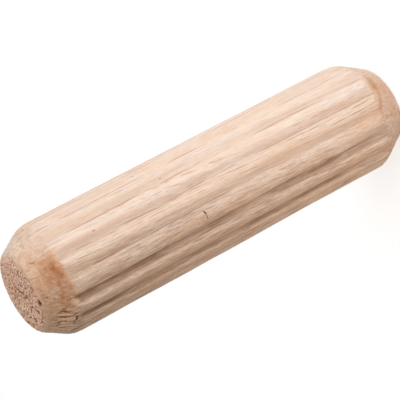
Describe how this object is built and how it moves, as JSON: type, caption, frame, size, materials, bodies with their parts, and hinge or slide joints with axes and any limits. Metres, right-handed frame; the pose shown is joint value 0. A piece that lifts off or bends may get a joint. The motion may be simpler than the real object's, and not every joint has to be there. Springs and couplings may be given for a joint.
{
  "type": "dowel pin",
  "caption": "Fluted beech dowel pin with chamfered ends, glued half its length into each of two drilled holes to line up and join them.",
  "frame": {"origin": "centre of the bottom end face, on the surface that the pin stands on", "axes": "+Z along the pin's axis, from the bottom end to the top end; +X through the middle of one flute"},
  "size_m": [0.008, 0.008, 0.03],
  "materials": {
    "beech": "matte"
  },
  "bodies": {
    "root": {"dowel_pin": "beech"}
  },
  "joints": []
}
